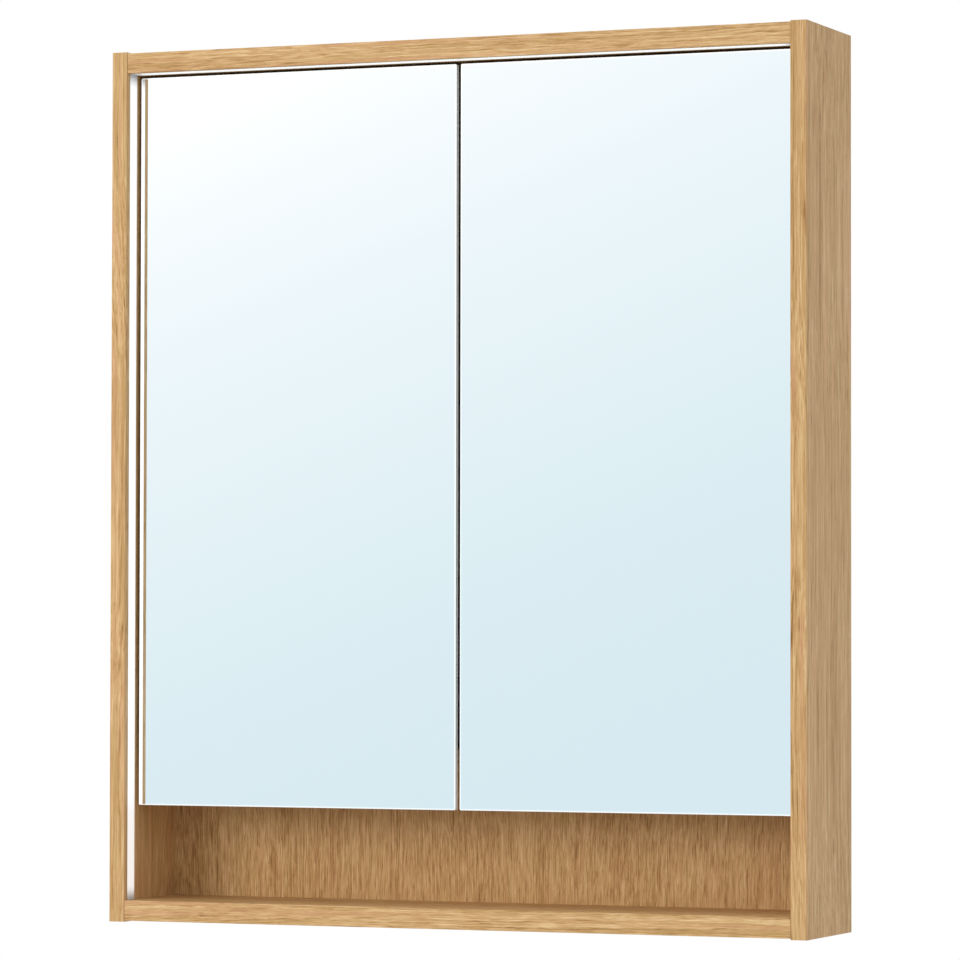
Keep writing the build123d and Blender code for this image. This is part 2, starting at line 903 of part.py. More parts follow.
side_channel = side_light_place * channel_profile(side_light_length)
side_diffuser = side_light_place * diffuser_profile(side_light_length)
side_strip = side_light_place * strip_profile(side_light_length, strip_end_margin, connector_reach)
save("left_light_channel", [side_channel])
save("right_light_channel", [mirrored(side_channel)])
save("left_light_diffuser", [side_diffuser])
save("right_light_diffuser", [mirrored(side_diffuser)])
save("left_led_strip", [side_strip])
save("right_led_strip", [mirrored(side_strip)])
save("top_light_channel", [top_light_place * channel_profile(top_light_length, duct_depth)])
save("top_light_diffuser", [top_light_place * diffuser_profile(top_light_length)])
top_strip = strip_profile(top_light_length, connector_reach, connector_reach)
save("top_led_strip", [top_light_place * top_strip])
save("light_corner_connectors", both([corner_connector()]))

for shelf_name, shelf_z in zip(shelf_names, shelf_heights):
    shelf = block(
        (-inner_x + shelf_side_gap, inner_x - shelf_side_gap),
        (inner_front_y + shelf_front_gap, back_front_y - shelf_back_gap),
        (shelf_z, shelf_z + shelf_thickness),
    )
    save(shelf_name, [chamfer(shelf.edges().filter_by(Axis.X), shelf_bevel)])
save("shelf_pins", both(shelf_pins()))

save("panel_dowels", both(dowels()))
save("cam_bolts", both(cam_bolts()))
save("cam_locks", both(slotted_cams()))
save("cam_caps", both(cam_caps()))

glass = mirror_glass()
backing = door_backing()
strike = strike_plate()
leaf_cuts = leaf_screws(hole_gap)
arm_cuts = arm_screws(hole_gap)
for side, place in (("left", lambda shape: shape), ("right", mirrored)):
    save(f"{side}_mirror_glass", [place(glass)])
    save(f"{side}_door_backing", [place(backing)])
    save(f"{side}_strike_plate", [place(strike)])
    save(f"{side}_leaf_screws", [place(piece) for piece in leaf_screws()])
    for level, hinge_z in hinge_heights.items():
        save(f"{side}_{level}_hinge_leaf", [place(hinge_leaf(hinge_z, leaf_cuts))])
        save(f"{side}_{level}_hinge_arm", [place(hinge_arm(hinge_z, arm_cuts))])
        save(f"{side}_{level}_hinge_pin", [place(hinge_pin(hinge_z))])
save("arm_screws", both(arm_screws()))

save("catch_sleeves", both([catch_sleeve()]))
save("catch_magnets", both([catch_magnet()]))

bracket = hanger_bracket()
save("left_hanger_bracket", [bracket])
save("right_hanger_bracket", [mirrored(bracket)])
save("wall_rail", [wall_rail()])
save("bracket_screws", both(bracket_screws()))

save("driver_case", [driver_case(cover_holes, ear_holes)])
save("driver_cover", [driver_cover(cover_holes)])
save("driver_circuit_board", [driver_circuit_board()])
cover_screws, ear_screws = driver_screws()
save("driver_screws", cover_screws + ear_screws)
save("mains_gland", [mains_gland()])
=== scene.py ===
import math
import bmesh
import bpy
from mathutils import Matrix, Vector


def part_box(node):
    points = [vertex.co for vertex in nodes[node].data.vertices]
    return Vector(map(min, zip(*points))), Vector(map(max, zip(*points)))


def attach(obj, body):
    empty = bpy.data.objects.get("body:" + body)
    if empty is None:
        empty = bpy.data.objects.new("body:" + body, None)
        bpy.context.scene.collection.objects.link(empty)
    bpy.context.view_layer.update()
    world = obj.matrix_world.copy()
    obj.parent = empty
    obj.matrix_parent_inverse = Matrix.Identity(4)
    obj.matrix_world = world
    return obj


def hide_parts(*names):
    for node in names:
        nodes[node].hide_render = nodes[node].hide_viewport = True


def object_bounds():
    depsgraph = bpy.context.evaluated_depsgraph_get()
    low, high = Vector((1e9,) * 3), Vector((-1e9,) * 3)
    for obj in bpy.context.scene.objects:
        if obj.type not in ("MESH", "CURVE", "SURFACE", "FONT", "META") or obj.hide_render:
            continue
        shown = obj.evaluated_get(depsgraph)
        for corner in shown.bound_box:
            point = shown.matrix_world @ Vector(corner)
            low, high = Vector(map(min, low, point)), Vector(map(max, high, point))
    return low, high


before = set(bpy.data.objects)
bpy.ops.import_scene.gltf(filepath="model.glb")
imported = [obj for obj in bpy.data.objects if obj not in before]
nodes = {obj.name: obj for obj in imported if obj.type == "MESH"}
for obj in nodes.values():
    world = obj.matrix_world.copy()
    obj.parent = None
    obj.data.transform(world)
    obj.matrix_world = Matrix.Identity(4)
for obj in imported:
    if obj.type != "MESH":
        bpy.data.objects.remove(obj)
cadLow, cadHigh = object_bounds()
print("stage: frame loaded,", len(nodes), "CAD nodes")


def tone(red, green, blue):  # a screen colour, 0 to 255 each, as the linear colour that a shader takes
    linear = []
    for value in (red, green, blue):
        share = value / 255
        linear.append(share / 12.92 if share <= 0.04045 else ((share + 0.055) / 1.055) ** 2.4)
    return (*linear, 1.0)


class Sock:  # one output of a shader node, so that maths on it reads as maths
    def __init__(self, maker, socket):
        self.maker = maker
        self.socket = socket

    def maths(self, operation, *values):
        return self.maker.node("ShaderNodeMath", {"operation": operation}, dict(enumerate(values)))

    def out(self, name):  # another output of the same node
        return Sock(self.maker, self.socket.node.outputs[name])

    def __add__(self, other):
        return self.maths("ADD", self, other)

    def __radd__(self, other):
        return self.maths("ADD", other, self)

    def __sub__(self, other):
        return self.maths("SUBTRACT", self, other)

    def __rsub__(self, other):
        return self.maths("SUBTRACT", other, self)

    def __mul__(self, other):
        return self.maths("MULTIPLY", self, other)

    def __rmul__(self, other):
        return self.maths("MULTIPLY", other, self)

    def __truediv__(self, other):
        return self.maths("DIVIDE", self, other)

    def least(self, other):
        return self.maths("MINIMUM", self, other)

    def size(self):
        return self.maths("ABSOLUTE", self)

    def root(self):
        return self.maths("SQRT", self)

    def part(self):  # what stands after the point
        return self.maths("FRACT", self)

    def above(self, limit):
        return self.maths("GREATER_THAN", self, limit)

    def below(self, limit):
        return self.maths("LESS_THAN", self, limit)

    def ease(self, low, high):  # 0 at low, 1 at high, smooth between
        inputs = {0: self, 1: low, 2: high, 3: 0.0, 4: 1.0}
        return self.maker.node("ShaderNodeMapRange", {"interpolation_type": "SMOOTHSTEP"}, inputs)


class Finish:  # one material; node() makes any node of it
    def __init__(self, name, owner=None):
        if owner is None:
            owner = bpy.data.materials.new(name)
        owner.use_nodes = True
        self.owner = owner
        self.tree = owner.node_tree
        self.tree.nodes.clear()

    def node(self, kind, settings=None, inputs=None, output=0):
        made = self.tree.nodes.new(kind)
        for key, value in (settings or {}).items():
            if key == "stops":
                self.fillRamp(made.color_ramp, value)
            else:
                setattr(made, key, value)
        for key, value in (inputs or {}).items():
            if isinstance(value, Sock):
                self.tree.links.new(value.socket, made.inputs[key])
            else:
                made.inputs[key].default_value = value
        return Sock(self, made.outputs[output] if len(made.outputs) else None)

    def fillRamp(self, ramp, stops):
        while len(ramp.elements) < len(stops):
            ramp.elements.new(1.0)
        for element, (place, colour) in zip(ramp.elements, stops):
            element.position = place
            element.color = colour

    def place(self):
        return self.node("ShaderNodeTexCoord", output="Object")

    def facing(self):
        return self.node("ShaderNodeTexCoord", output="Normal")

    def split(self, vector):
        first = self.node("ShaderNodeSeparateXYZ", None, {0: vector})
        return first, first.out("Y"), first.out("Z")

    def join(self, x, y, z):
        return self.node("ShaderNodeCombineXYZ", None, {0: x, 1: y, 2: z})

    def noise(self, vector, scale, shift=(0, 0, 0), detail=2.0, rough=0.5):
        moved = self.node("ShaderNodeMapping", None, {"Vector": vector, "Location": shift, "Scale": scale})
        inputs = {"Vector": moved, "Scale": 1.0, "Detail": detail, "Roughness": rough}
        return self.node("ShaderNodeTexNoise", None, inputs)

    def cells(self, vector, scale, shift=(0, 0, 0), output="Distance"):
        moved = self.node("ShaderNodeMapping", None, {"Vector": vector, "Location": shift, "Scale": scale})
        return self.node("ShaderNodeTexVoronoi", None, {"Vector": moved, "Scale": 1.0}, output)

    def blend(self, share, first, second):
        settings = {"data_type": "RGBA", "clamp_factor": True}
        return self.node("ShaderNodeMix", settings, {0: share, 6: first, 7: second}, 2)

    def choose(self, share, first, second):  # the same for vectors
        return self.node("ShaderNodeMix", {"data_type": "VECTOR"}, {0: share, 4: first, 5: second}, 1)

    def ramp(self, share, stops):
        return self.node("ShaderNodeValToRGB", {"stops": stops}, {0: share})

    def relief(self, height, distance, strength=1.0):
        inputs = {"Height": height, "Distance": distance, "Strength": strength}
        return self.node("ShaderNodeBump", None, inputs)

    def surface(self, **inputs):  # Base_Color stands for the socket "Base Color", and so on
        named = {key.replace("_", " "): value for key, value in inputs.items()}
        shader = self.node("ShaderNodeBsdfPrincipled", None, named)
        self.node("ShaderNodeOutputMaterial", None, {0: shader})
        return self.owner


def edgeDepth(finish, low, high):  # how far a point lies under the outer faces of a box
    depth = None
    for value, near, far in zip(finish.split(finish.place()), low, high):
        nearest = (value - near).least(far - value)
        depth = nearest if depth is None else depth.least(nearest)
    return depth


def dress(material, *names):
    for name in names:
        slots = nodes[name].data.materials
        slots.clear()
        slots.append(material)


# Oak veneer: growth bands that drift and wave along the grain, dark early wood, pores and fibres

oakLook = {
    "tones": [
        (0.00, tone(128, 88, 48)),
        (0.25, tone(166, 124, 74)),
        (0.45, tone(190, 150, 97)),
        (0.60, tone(203, 164, 112)),
        (0.78, tone(217, 181, 130)),
        (1.00, tone(232, 200, 152)),
    ],
    "rose": tone(208, 158, 116),
    "olive": tone(184, 152, 92),
    "core": [(0.25, tone(150, 116, 80)), (0.75, tone(206, 176, 134))],
    "foil": [(0.2, tone(178, 140, 98)), (0.8, tone(196, 160, 118))],
    # a dark line at the board ends: partly a glue line, partly painted shade between the boards and the side
    # panels
    "glueAndShadeTone": tone(112, 78, 48),
    "glueAndShadeWidth": 0.0004,  # m
    "veneer": 0.0008,  # m, so that grooves and holes show the chipboard under it
    "rings": 9.0,
    "relief": 0.00009,  # m
    "square": 0.7,  # how squarely a surface faces an axis to count as an end or as the rear
}
oakGrain = {  # how fine each pattern is, in cells to the metre: across, in depth and along the grain
    "bend": (3.5, 3.5, 1.7),
    "ripple": (22, 22, 17),
    "field": (30, 30, 0.8),
    "broad": (120, 120, 1.1),
    "bands": (310, 310, 3.4),
    "fibres": (840, 840, 30),
    "pale": (700, 700, 18),
    "dark": (740, 740, 16),
    "pores": (1300, 1300, 60),
    "clouds": (11, 11, 2.2),
    "hue": (190, 190, 1.9),
    "chips": (700, 700, 260),
}


def alongGrain(pattern, short):  # a pattern with more cells along the grain where short is above 1
    across, depth, length = oakGrain[pattern]
    return (across, depth, length * short)


def oak(
    name, along, box, shift,
    drift=0.05, wave=0.0022, short=1.0, lift=0.0, calm=1.0, crisp=1.6, rearFoil=False,
):
    low, high = box
    finish = Finish(name)
    x, y, z = finish.split(finish.place())
    sideY, sideZ = finish.split(finish.facing())[1:]
    if along == "Z":
        grain = finish.join(x, y, z)
        ends = finish.join(x, z, y)
        plane = finish.choose(sideZ.size().above(oakLook["square"]), grain, ends)
    else:
        plane = finish.join(y, z, x)
    across, depth, length = finish.split(plane)
    bend = (finish.noise(plane, oakGrain["bend"], shift, 1.0) - 0.5) * drift
    ripple = (finish.noise(plane, alongGrain("ripple", short), shift, 2.0, 0.6) - 0.5) * wave
    warped = finish.join(across + bend + ripple, depth + bend + ripple, length)
    field = finish.noise(warped, oakGrain["field"], shift, 0.0) * oakLook["rings"]
    early = 1 - field.part().ease(0.0, 0.3)
    broad = finish.noise(warped, alongGrain("broad", short), shift, 1.0)
    bands = finish.noise(warped, alongGrain("bands", short), shift, 2.0, 0.6)
    fibres = finish.noise(warped, alongGrain("fibres", short), shift, 3.0, 0.75)
    paleShift = (shift[2], shift[0], shift[1])
    darkShift = (shift[1], shift[0], shift[2])
    hueShift = (shift[1], shift[2], shift[0])
    pale = finish.noise(warped, alongGrain("pale", short), paleShift, 1.0).ease(0.56, 0.63)
    dark = finish.noise(warped, alongGrain("dark", short), darkShift, 1.0).ease(0.57, 0.64)
    pores = finish.noise(warped, oakGrain["pores"], shift, 1.0).ease(0.58, 0.68)
    clouds = finish.noise(plane, oakGrain["clouds"], shift, 2.0)
    bandLight = (broad - 0.5) * 0.5 + (bands - 0.5) * 0.75
    light = 0.6 + lift + bandLight * calm + (fibres - 0.5) * crisp + (clouds - 0.5) * 0.2
    light = light + pale * 0.15 - dark * 0.17 - early * 0.1 - pores * (0.1 + early * 0.1)
    colour = finish.ramp(light, oakLook["tones"])
    hue = finish.noise(warped, oakGrain["hue"], hueShift, 1.0)
    colour = finish.blend(hue.ease(0.5, 0.72) * 0.5 * calm, colour, oakLook["rose"])
    colour = finish.blend((1 - hue).ease(0.52, 0.74) * 0.38 * calm, colour, oakLook["olive"])
    if rearFoil:
        foil = finish.ramp(0.5 + (fibres - 0.5) * 0.5, oakLook["foil"])
        colour = finish.blend(sideY.above(oakLook["square"]), colour, foil)
    chips = finish.cells(finish.place(), oakGrain["chips"], shift, "Color")
    chip = finish.ramp(finish.split(chips)[0], oakLook["core"])
    under = edgeDepth(finish, low, high).above(oakLook["veneer"])
    colour = finish.blend(under, colour, chip)
    # dark line at the board ends: partly a glue line, partly painted shade where the boards meet the side
    # panels
    if along == "X":
        glueAndShadeLine = (x - low[0]).least(high[0] - x).below(oakLook["glueAndShadeWidth"])
        colour = finish.blend(glueAndShadeLine * 0.6, colour, oakLook["glueAndShadeTone"])
    height = fibres * 0.5 - pores * 0.8 - early * 0.2
    return finish.surface(
        Base_Color=colour,
        Roughness=0.5 + (1 - light) * 0.12 + pores * 0.1,
        Specular_IOR_Level=0.35,
        Normal=finish.relief(height, oakLook["relief"], 0.6),
    )


sidePanel = {"along": "Z", "drift": 0.085, "short": 0.6, "crisp": 1.35}
wideBoard = {"along": "X", "drift": 0.03, "wave": 0.0028}
rearPanel = {"along": "Z", "short": 1.3, "lift": -0.06, "calm": 0.5, "crisp": 1.8, "rearFoil": True}
woodPieces = {
    "left_side_panel": {**sidePanel, "shift": (3.1, 7.7, 1.3), "lift": 0.05},
    "right_side_panel": {**sidePanel, "shift": (11.4, 2.9, 5.2), "lift": -0.03},
    "top_board": {**wideBoard, "shift": (6.3, 14.8, 9.1), "short": 1.2},
    "bottom_board": {**wideBoard, "shift": (17.2, 4.4, 2.6), "short": 1.2},
    "niche_ceiling_board": {**wideBoard, "shift": (8.8, 21.5, 12.7)},
    "back_panel": {**rearPanel, "shift": (25.1, 12.3, 4.9)},
}
for pieceName, look in woodPieces.items():
    dress(oak(pieceName + "_oak", box=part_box(pieceName), **look), pieceName)
print("stage: oak")


mirrorLook = {
    "silver": tone(254, 255, 255),
    # painted highlight: the arris is painted near white, so that it reads as a bright line
    "arrisHighlight": tone(250, 251, 251),
    "paintedArrisGlow": tone(132, 132, 130),  # painted highlight: a glow on the polished arris, which is no lamp
    "arrisWidth": 0.0015,
    "edge": tone(196, 204, 201),
    "faceSquare": 0.95,  # how squarely the silvered face looks forwards
    "edgeSquare": 0.3,  # the ground edge looks forwards less than this
}


def mirrorGlass(name, box):  # silvered face, polished arris with a painted highlight (near-white colour and a glow), and pale grey edge
    finish = Finish(name)
    x, _, z = finish.split(finish.place())
    front = finish.split(finish.facing())[1].size()
    face = front.above(mirrorLook["faceSquare"])
    edge = front.below(mirrorLook["edgeSquare"])
    low, high = box
    rim = (x - low[0]).least(high[0] - x).least(z - low[2]).least(high[2] - z)
    # painted highlight: the ring along the arris, inside the ground edge, glows and takes the near-white
    # tone
    arrisHighlight = (1 - edge) * rim.below(mirrorLook["arrisWidth"])
    tint = finish.blend(face, mirrorLook["arrisHighlight"], mirrorLook["silver"])
    tint = finish.blend(edge, tint, mirrorLook["edge"])
    smear = finish.noise(finish.place(), (9, 9, 5), (2, 5, 1), 3.0)
    return finish.surface(
        Base_Color=tint,
        Metallic=face,
        Roughness=0.002 + (1 - face) * 0.25 + smear * 0.004,
        Specular_IOR_Level=0.5,
        Emission_Color=finish.blend(arrisHighlight, tone(0, 0, 0), mirrorLook["paintedArrisGlow"]),
        Emission_Strength=1.0,
    )


for side in ("left", "right"):
    pieceName = side + "_mirror_glass"
    dress(mirrorGlass(pieceName + "_finish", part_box(pieceName)), pieceName)
print("stage: mirrors")


backingLook = {
    "rear": [(0.0, tone(206, 209, 209)), (1.0, tone(230, 232, 232))],
    "edge": tone(249, 250, 249),
    "rearSquare": 0.7,  # how squarely a surface faces the rear or the front to take the rear's tones
}


def backingBoard(name):  # lacquered board with a fine orange-peel skin and white edges
    finish = Finish(name)
    place = finish.place()
    rear = finish.split(finish.facing())[1].size().above(backingLook["rearSquare"])
    speck = finish.noise(place, (900, 900, 900), (1, 2, 3), 2.0)
    cloud = finish.noise(place, (12, 12, 12), (4, 1, 2), 2.0)
    light = 0.5 + (speck - 0.5) * 0.35 + (cloud - 0.5) * 0.3
    return finish.surface(
        Base_Color=finish.blend(rear, backingLook["edge"], finish.ramp(light, backingLook["rear"])),
        Roughness=0.42 + (speck - 0.5) * 0.2,
        Normal=finish.relief(speck, 0.00006, 0.4),
    )


dress(backingBoard("backing_lacquer"), "left_door_backing", "right_door_backing")


lightLook = {
    "glow": 0.62,
    "fade": 0.016,  # m at each end where the cover grows darker
    "endTone": tone(52, 50, 56),
    "litTone": tone(255, 255, 255),
    "endCover": tone(190, 189, 191),
    "litCover": tone(206, 206, 206),
}


def lightCover(name, box, along):
    axis = "XYZ".index(along)
    low, high = box
    finish = Finish(name)
    value = finish.split(finish.place())[axis]
    rim = (value - low[axis]).least(high[axis] - value)
    grainy = finish.noise(finish.place(), (500, 500, 500), (3, 1, 6), 2.0)
    lit = rim.ease(-0.002, lightLook["fade"]) + (grainy - 0.5) * 0.01
    return finish.surface(
        Base_Color=finish.blend(lit, lightLook["endCover"], lightLook["litCover"]),
        Emission_Color=finish.blend(lit, lightLook["endTone"], lightLook["litTone"]),
        Emission_Strength=lightLook["glow"],
        Roughness=0.38 + (grainy - 0.5) * 0.1,
    )


for pieceName, along in (("left", "Z"), ("right", "Z"), ("top", "X")):
    coverName = pieceName + "_light_diffuser"
    dress(lightCover(coverName + "_opal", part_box(coverName), along), coverName)


# Metal with streaks along the way that it was drawn
def drawnMetal(name, light, dark, scale, rough, metallic=1.0):
    finish = Finish(name)
    streak = finish.noise(finish.place(), scale, (5, 3, 1), 3.0, 0.6)
    cloud = finish.noise(finish.place(), (40, 40, 40), (1, 6, 2), 2.0)
    share = streak * 0.7 + cloud * 0.3
    return finish.surface(
        Base_Color=finish.ramp(share, [(0.3, dark), (0.7, light)]),
        Metallic=metallic,
        Roughness=rough + (streak - 0.5) * 0.18,
        Normal=finish.relief(streak, 0.00003, 0.5),
    )


channelLook = {"light": tone(214, 215, 216), "dark": tone(184, 186, 188), "rough": 0.34}
upright = drawnMetal("channel_metal_upright", scale=(1600, 1600, 9), **channelLook)
level = drawnMetal("channel_metal_level", scale=(9, 1600, 1600), **channelLook)
dress(upright, "left_light_channel", "right_light_channel")
dress(level, "top_light_channel")

nickelLook = {
    "light": tone(226, 225, 221),
    "dark": tone(200, 199, 195),
    "scale": (500, 500, 500),
    "rough": 0.36,
    "metallic": 0.72,
}
nickel = drawnMetal("nickel_plate", **nickelLook)
for side in ("left", "right"):
    for place in ("upper", "lower"):
        for item in ("arm", "leaf", "pin"):
            dress(nickel, f"{side}_{place}_hinge_{item}")
dress(nickel, "shelf_pins")


zincLook = {
    "tones": [(0.2, tone(182, 175, 168)), (0.8, tone(220, 214, 204))],
    "crystals": 320,  # to the metre
    "clouds": 60,
}


def zincPlate(name):  # pale zinc with faint crystal patches and a warm passivation cast
    finish = Finish(name)
    place = finish.place()
    patch = finish.split(finish.cells(place, (zincLook["crystals"],) * 3, (2, 4, 6), "Color"))[0]
    cloud = finish.noise(place, (zincLook["clouds"],) * 3, (7, 2, 5), 3.0)
    colour = finish.ramp(patch * 0.45 + cloud * 0.55, zincLook["tones"])
    return finish.surface(
        Base_Color=colour,
        Metallic=1.0,
        Roughness=0.3 + patch * 0.14,
        Normal=finish.relief(cloud, 0.00004, 0.4),
    )


zinc = zincPlate("zinc_plate")
dress(zinc, "arm_screws", "left_leaf_screws", "right_leaf_screws", "bracket_screws", "driver_screws")
dress(zinc, "left_strike_plate", "right_strike_plate", "left_hanger_bracket", "right_hanger_bracket")
dress(zinc, "wall_rail", "cam_bolts", "cam_locks")


def mouldedPlastic(name, light, dark, rough, grainSize):
    finish = Finish(name)
    grainy = finish.noise(finish.place(), (grainSize, grainSize, grainSize), (1, 8, 3), 2.0)
    cloud = finish.noise(finish.place(), (30, 30, 30), (9, 2, 4), 2.0)
    return finish.surface(
        Base_Color=finish.ramp(grainy * 0.5 + cloud * 0.5, [(0.25, dark), (0.75, light)]),
        Roughness=rough + (grainy - 0.5) * 0.16,
        Normal=finish.relief(grainy, 0.00004, 0.5),
    )


plastics = {  # the nodes, the light and the dark tone, the roughness and the grain to the metre
    "corner_plastic": (["light_corner_connectors"], tone(240, 240, 238), tone(228, 228, 226), 0.36, 1100),
    "catch_plastic": (["catch_sleeves"], tone(238, 238, 236), tone(226, 226, 224), 0.38, 1100),
    "cap_plastic": (["cam_caps"], tone(212, 176, 126), tone(200, 162, 112), 0.45, 1100),
    "driver_plastic": (["driver_case", "driver_cover"], tone(236, 237, 238), tone(224, 225, 227), 0.5, 1600),
    "gland_rubber": (["mains_gland"], tone(44, 44, 46), tone(30, 30, 32), 0.62, 1100),
}
for plasticName, (places, *look) in plastics.items():
    dress(mouldedPlastic(plasticName, *look), *places)

magnetLook = {
    "light": tone(176, 178, 180),
    "dark": tone(140, 142, 146),
    "scale": (300, 300, 300),
    "rough": 0.3,
}
dress(drawnMetal("magnet_nickel", **magnetLook), "catch_magnets")


glassLook = {"tint": tone(232, 246, 240), "ior": 1.5, "rough": 0.003}


def shelfGlass(name):
    finish = Finish(name)
    smear = finish.noise(finish.place(), (14, 20, 14), (6, 2, 1), 3.0)
    return finish.surface(
        Base_Color=glassLook["tint"],
        Transmission_Weight=1.0,
        IOR=glassLook["ior"],
        Roughness=glassLook["rough"] + smear * 0.02,
    )


dress(shelfGlass("shelf_glass_finish"), "lower_glass_shelf", "middle_glass_shelf", "upper_glass_shelf")


beechTones = [(0.3, tone(196, 158, 116)), (0.7, tone(222, 188, 148))]


def beechWood(name):
    finish = Finish(name)
    streak = finish.noise(finish.place(), (25, 1400, 1400), (3, 3, 9), 2.0)
    colour = finish.ramp(streak, beechTones)
    return finish.surface(Base_Color=colour, Roughness=0.6, Normal=finish.relief(streak, 0.0001, 0.5))


dress(beechWood("beech_finish"), "panel_dowels")


def circuitBoard(name, look):  # lacquered board with tracks, and components that stand on one face of it
    finish = Finish(name)
    place = finish.place()
    low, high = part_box(look["node"])
    axis = "XYZ".index(look["axis"])
    value = finish.split(place)[axis]
    seat = low[axis] + look["board"] if look["rises"] else high[axis] - look["board"]
    lanes = finish.cells(place, (260, 260, 260), (2, 1, 4))
    colour = finish.blend(lanes.ease(0.42, 0.5), look["lacquer"], look["track"])
    stands = value.above(seat) if look["rises"] else value.below(seat)
    patches = finish.split(finish.cells(place, (90, 90, 90), (5, 2, 8), "Color"))[0]
    colour = finish.blend(stands, colour, finish.ramp(patches, look["parts"]))
    return finish.surface(Base_Color=colour, Roughness=0.4 + lanes * 0.1)


stripLook = {
    "board": 0.00105,  # m, the bare board's thickness with a little to spare
    "lacquer": tone(240, 240, 236),
    "track": tone(214, 190, 150),
    "parts": [(0.3, tone(238, 226, 150)), (0.7, tone(250, 240, 178))],
}
driverLook = {
    "board": 0.00165,
    "lacquer": tone(34, 92, 58),
    "track": tone(70, 130, 84),
    "parts": [(0.2, tone(36, 36, 38)), (0.5, tone(176, 132, 60)), (0.9, tone(60, 84, 140))],
}
boards = [
    {"node": "left_led_strip", "axis": "X", "rises": True, **stripLook},
    {"node": "right_led_strip", "axis": "X", "rises": False, **stripLook},
    {"node": "top_led_strip", "axis": "Z", "rises": False, **stripLook},
    {"node": "driver_circuit_board", "axis": "Y", "rises": True, **driverLook},
]
for look in boards:
    dress(circuitBoard(look["node"] + "_board", look), look["node"])
print("stage: small parts")


# Screws: countersunk heads with a cross recess and a thread, grown at each place of the plain ones

screwLook = {
    "headRadius": 0.003,
    "headHeight": 0.0014,
    "shankRadius": 0.0016,
    "threadDepth": 0.0004,
    "pitch": 0.0012,
    "crossLength": 0.0034,
    "crossWidth": 0.0007,
    "crossDepth": 0.0011,
    "neck": 0.9,  # share of the head's height at which the shank starts
    "headSteps": 32,
    "roundSteps": 16,
    "stepsPerTurn": 5,
    "seed": 4,
}


class Plan(Finish):  # one Geometry Nodes tree; node() makes its nodes as well
    def __init__(self, name, sizes):
        self.tree = bpy.data.node_groups.new(name, "GeometryNodeTree")
        self.tree.interface.new_socket("Geometry", in_out="INPUT", socket_type="NodeSocketGeometry")
        self.tree.interface.new_socket("Geometry", in_out="OUTPUT", socket_type="NodeSocketGeometry")
        for size in sizes:
            self.tree.interface.new_socket(size, in_out="INPUT", socket_type="NodeSocketFloat")
        self.start = self.node("NodeGroupInput")

    def gather(self, kind, name, parts):  # several shapes on one input
        made = self.node(kind)
        for shape in reversed(parts):
            self.tree.links.new(shape.socket, made.socket.node.inputs[name])
        return made

    def finishWith(self, shape, material):
        whole = self.node("GeometryNodeRealizeInstances", None, {0: shape})
        painted = self.node("GeometryNodeSetMaterial", None, {0: whole, "Material": material})
        self.node("NodeGroupOutput", None, {0: painted})


def screwPlan(material):
    look = screwLook
    plan = Plan("countersunk_screw", ["Length", "Head Radius", "Shank Radius", "Pitch"])
    length, headRadius = plan.start.out("Length"), plan.start.out("Head Radius")
    shankRadius, pitch = plan.start.out("Shank Radius"), plan.start.out("Pitch")
    cone = {
        "Vertices": look["headSteps"],
        "Radius Top": headRadius,
        "Radius Bottom": shankRadius,
        "Depth": look["headHeight"],
    }
    head = plan.node("GeometryNodeMeshCone", None, cone)
    head = plan.node("GeometryNodeTransform", None, {0: head, "Translation": (0, 0, -look["headHeight"])})
    wings = []
    for turn in (0, math.pi / 2):
        size = (look["crossLength"], look["crossWidth"], look["crossDepth"] * 2)
        wing = plan.node("GeometryNodeMeshCube", None, {"Size": size})
        wings.append(plan.node("GeometryNodeTransform", None, {0: wing, "Rotation": (0, 0, turn)}))
    cut = plan.gather("GeometryNodeMeshBoolean", "Mesh 2", wings)
    plan.tree.links.new(head.socket, cut.socket.node.inputs["Mesh 1"])
    neck = look["headHeight"] * look["neck"]
    stem = length - neck
    steps = stem / pitch * look["stepsPerTurn"]
    tube = {"Vertices": look["roundSteps"], "Side Segments": steps, "Radius": shankRadius, "Depth": stem}
    shank = plan.node("GeometryNodeMeshCylinder", None, tube)
    drop = plan.node("ShaderNodeCombineXYZ", None, {"Z": stem * -0.5 - neck})
    shank = plan.node("GeometryNodeTransform", None, {0: shank, "Translation": drop})
    x, y, z = plan.split(plan.node("GeometryNodeInputPosition"))
    turn = y.maths("ARCTAN2", y, x) / (2 * math.pi)
    crest = 1 - (((z / pitch + turn).part()) * 2 - 1).size()
    tip = (z + length).ease(0, shankRadius * 2.5)
    radius = (shankRadius - (1 - crest) * look["threadDepth"]) * (0.12 + tip * 0.88) / shankRadius
    spot = plan.join(x * radius, y * radius, z)
    shank = plan.node("GeometryNodeSetPosition", None, {0: shank, "Position": spot})
    screw = plan.gather("GeometryNodeJoinGeometry", "Geometry", [cut, shank])
    axis = plan.node("GeometryNodeInputNamedAttribute", {"data_type": "FLOAT_VECTOR"}, {"Name": "outward"})
    aim = plan.node("FunctionNodeAlignRotationToVector", {"axis": "Z"}, {"Vector": axis})
    chance = {2: 0.0, 3: 2 * math.pi, "Seed": look["seed"]}
    spin = plan.node("FunctionNodeRandomValue", {"data_type": "FLOAT"}, chance, 1)
    twist = plan.node("FunctionNodeAxisAngleToRotation", None, {"Axis": (0, 0, 1), "Angle": spin})
    turned = plan.node("FunctionNodeRotateRotation", {"rotation_space": "LOCAL"}, {0: aim, 1: twist})
    spread = {"Points": plan.start, "Instance": screw, "Rotation": turned}
    plan.finishWith(plan.node("GeometryNodeInstanceOnPoints", None, spread), material)
    return plan.tree


